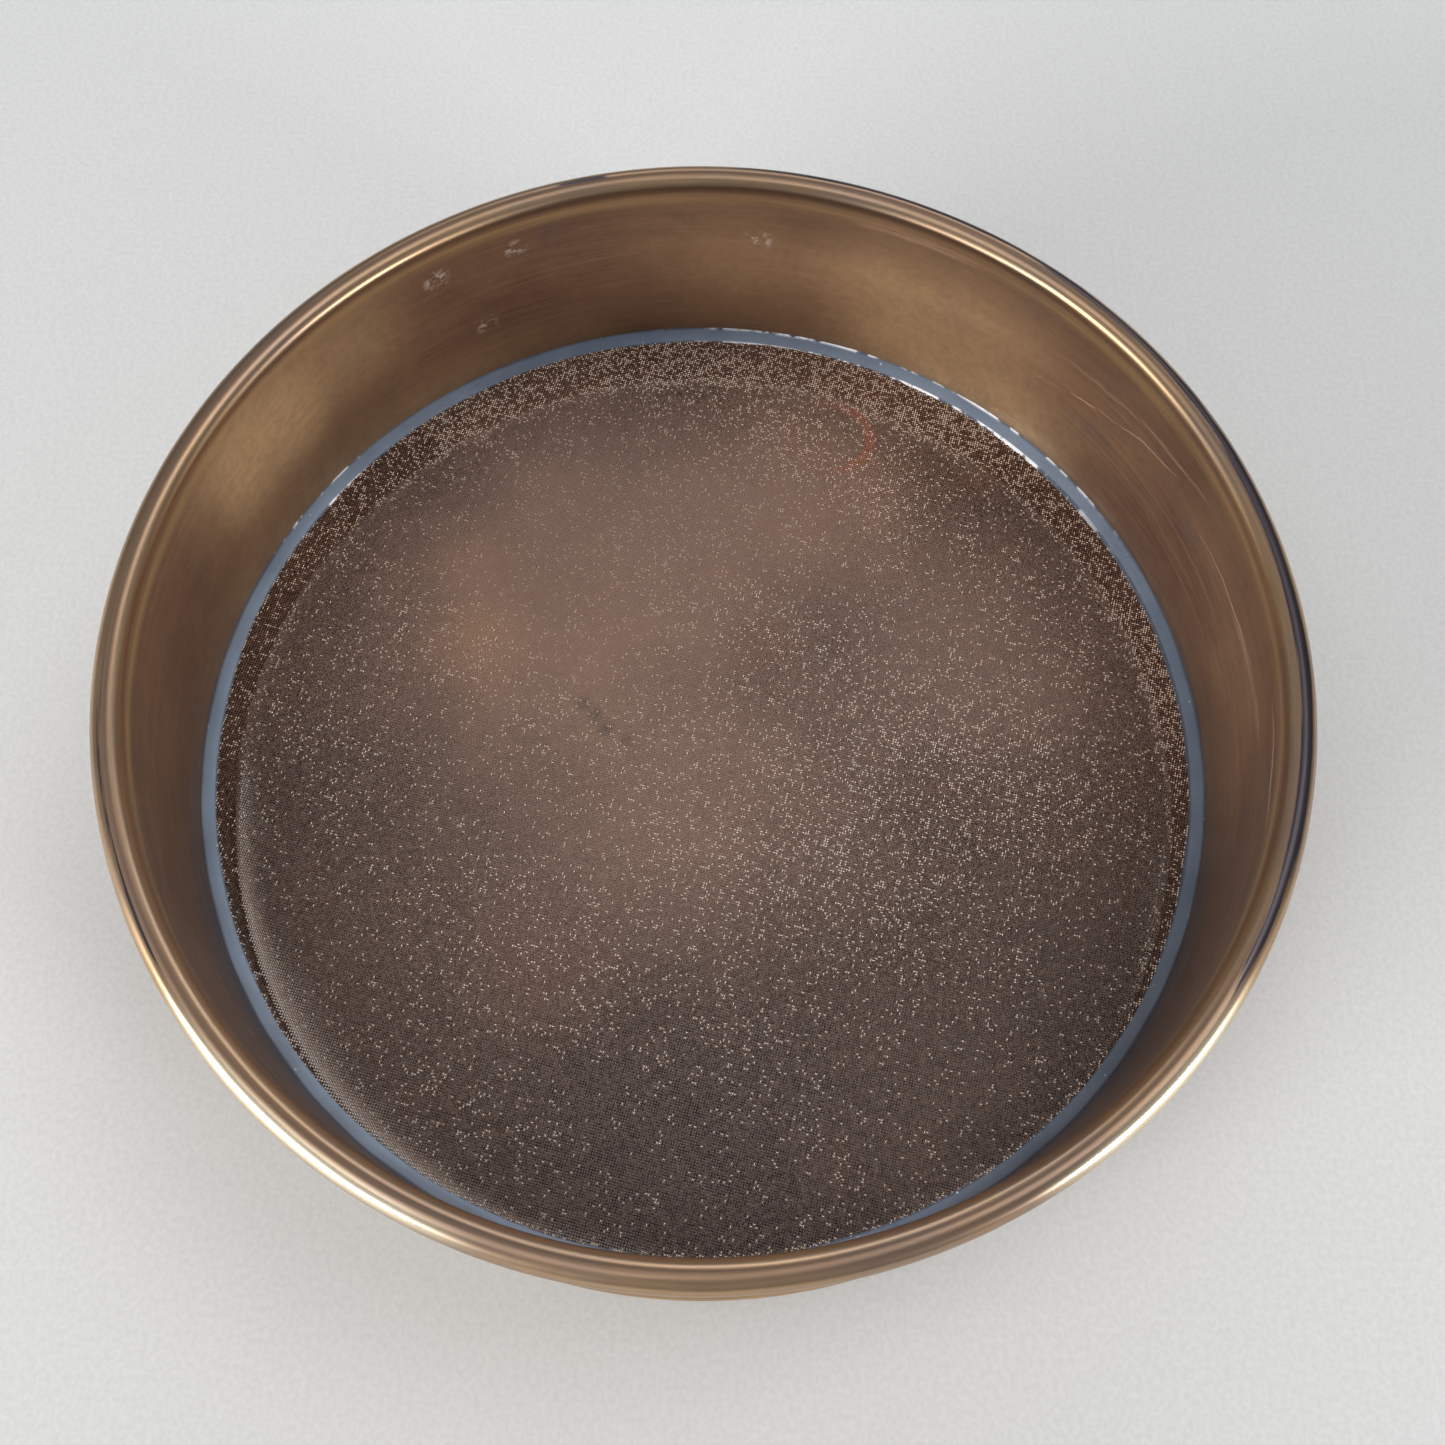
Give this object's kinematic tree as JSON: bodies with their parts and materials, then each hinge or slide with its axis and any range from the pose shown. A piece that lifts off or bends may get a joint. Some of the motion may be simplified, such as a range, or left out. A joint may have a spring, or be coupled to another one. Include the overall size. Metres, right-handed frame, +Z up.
{
  "type": "round drum sieve",
  "caption": "Round drum sieve: brass wall with a curled rim, fine woven wire cloth soldered across it, and a narrower skirt below that nests in the next drum.",
  "frame": {"origin": "centre of the skirt's foot, on the surface the sieve stands on", "axes": "+Z up along the drum's axis, from the foot towards the rim; the part is round, so X and Y are any two directions across it"},
  "size_m": [0.2144, 0.2144, 0.069],
  "materials": {
    "frame_brass": "spun brass, brown with tarnish, brushed round the drum, worn brighter on the rim",
    "skirt_brass": "spun brass, brown with tarnish",
    "cloth_wire": "plain-woven drawn wire, brown with tarnish, bright at the tops of the crossings",
    "solder": "smooth grey soft solder with a dull bluish skin"
  },
  "bodies": {
    "root": {"frame_shell": "frame_brass", "skirt_ring": "skirt_brass", "wire_cloth": "cloth_wire", "upper_solder_fillet": "solder", "lower_solder_seam": "solder"}
  },
  "joints": []
}
